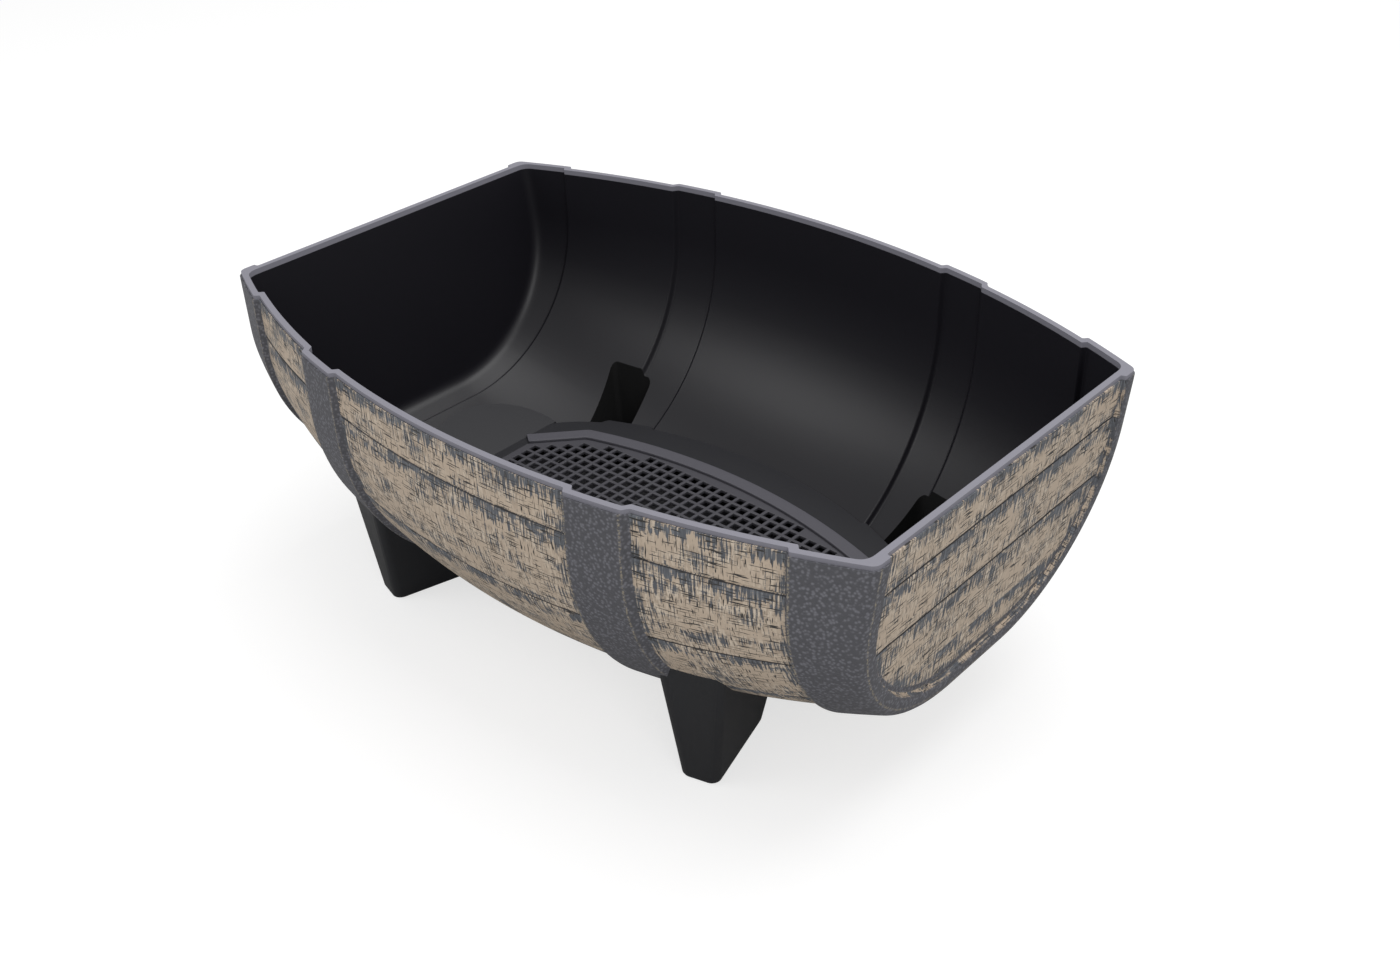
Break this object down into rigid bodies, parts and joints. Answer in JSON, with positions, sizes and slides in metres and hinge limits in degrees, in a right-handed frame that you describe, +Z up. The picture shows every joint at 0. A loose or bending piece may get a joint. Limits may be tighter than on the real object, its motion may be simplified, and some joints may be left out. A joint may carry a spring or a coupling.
{
  "type": "half barrel planter",
  "caption": "Trough planter moulded as a half barrel with raised hoop bands, recessed end panels, hollow tapered feet and a drop-in drainage grille.",
  "frame": {"origin": "on the floor, in the middle of the four feet", "axes": "+X along the length, +Y to the far side, +Z up"},
  "size_m": [0.5994, 0.4158, 0.24],
  "materials": {
    "tub_plastic": "satin charcoal moulding, wood-effect paint on the outside panels",
    "grille_plastic": "satin black moulding"
  },
  "bodies": {
    "tub_body": {"tub": "tub_plastic"},
    "grille_body": {"grille": "grille_plastic"}
  },
  "joints": [
    {"name": "grille_lift", "type": "slide", "parent": "tub_body", "child": "grille_body", "axis": [0, 0, 1], "range_m": [0, 0.22]}
  ]
}
